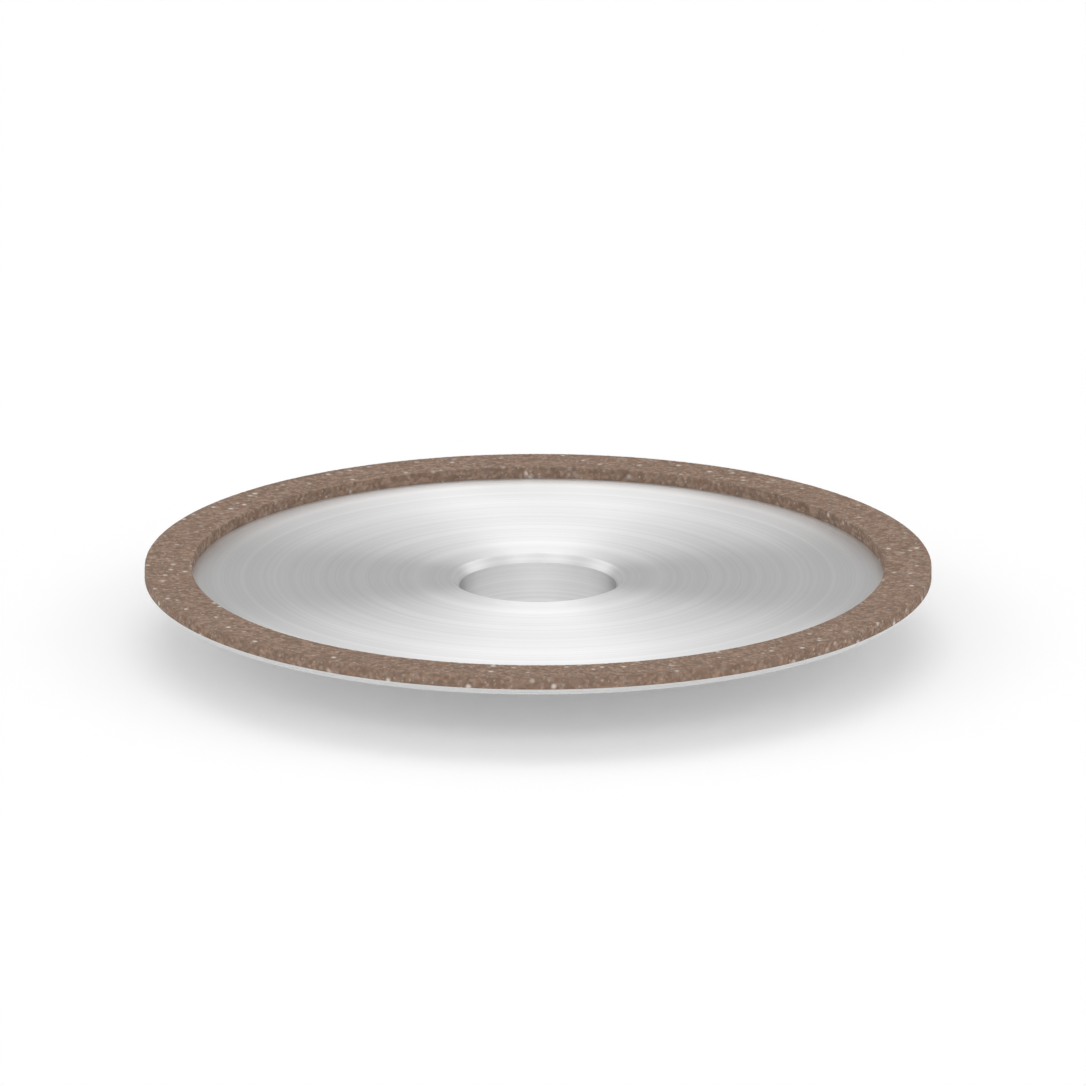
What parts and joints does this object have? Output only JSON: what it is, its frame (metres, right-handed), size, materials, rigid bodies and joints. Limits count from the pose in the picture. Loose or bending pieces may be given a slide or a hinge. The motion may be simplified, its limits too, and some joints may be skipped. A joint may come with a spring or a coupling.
{
  "type": "grinding wheel",
  "caption": "Dish grinding wheel: a turned metal body with a short hub, a chamfered bore and a thin rim, carrying a flat ring of bonded abrasive on its open face.",
  "frame": {"origin": "centre of the hub's seating face, on the bore's axis; the wheel stands on this face", "axes": "+Z along the bore, out of the grinding face; the wheel is round, so X and Y are free"},
  "size_m": [0.1, 0.1, 0.01],
  "materials": {
    "turned_aluminium": "satin",
    "bonded_abrasive": "matte"
  },
  "bodies": {
    "root": {"wheel_body": "turned_aluminium", "abrasive_ring": "bonded_abrasive"}
  },
  "joints": []
}
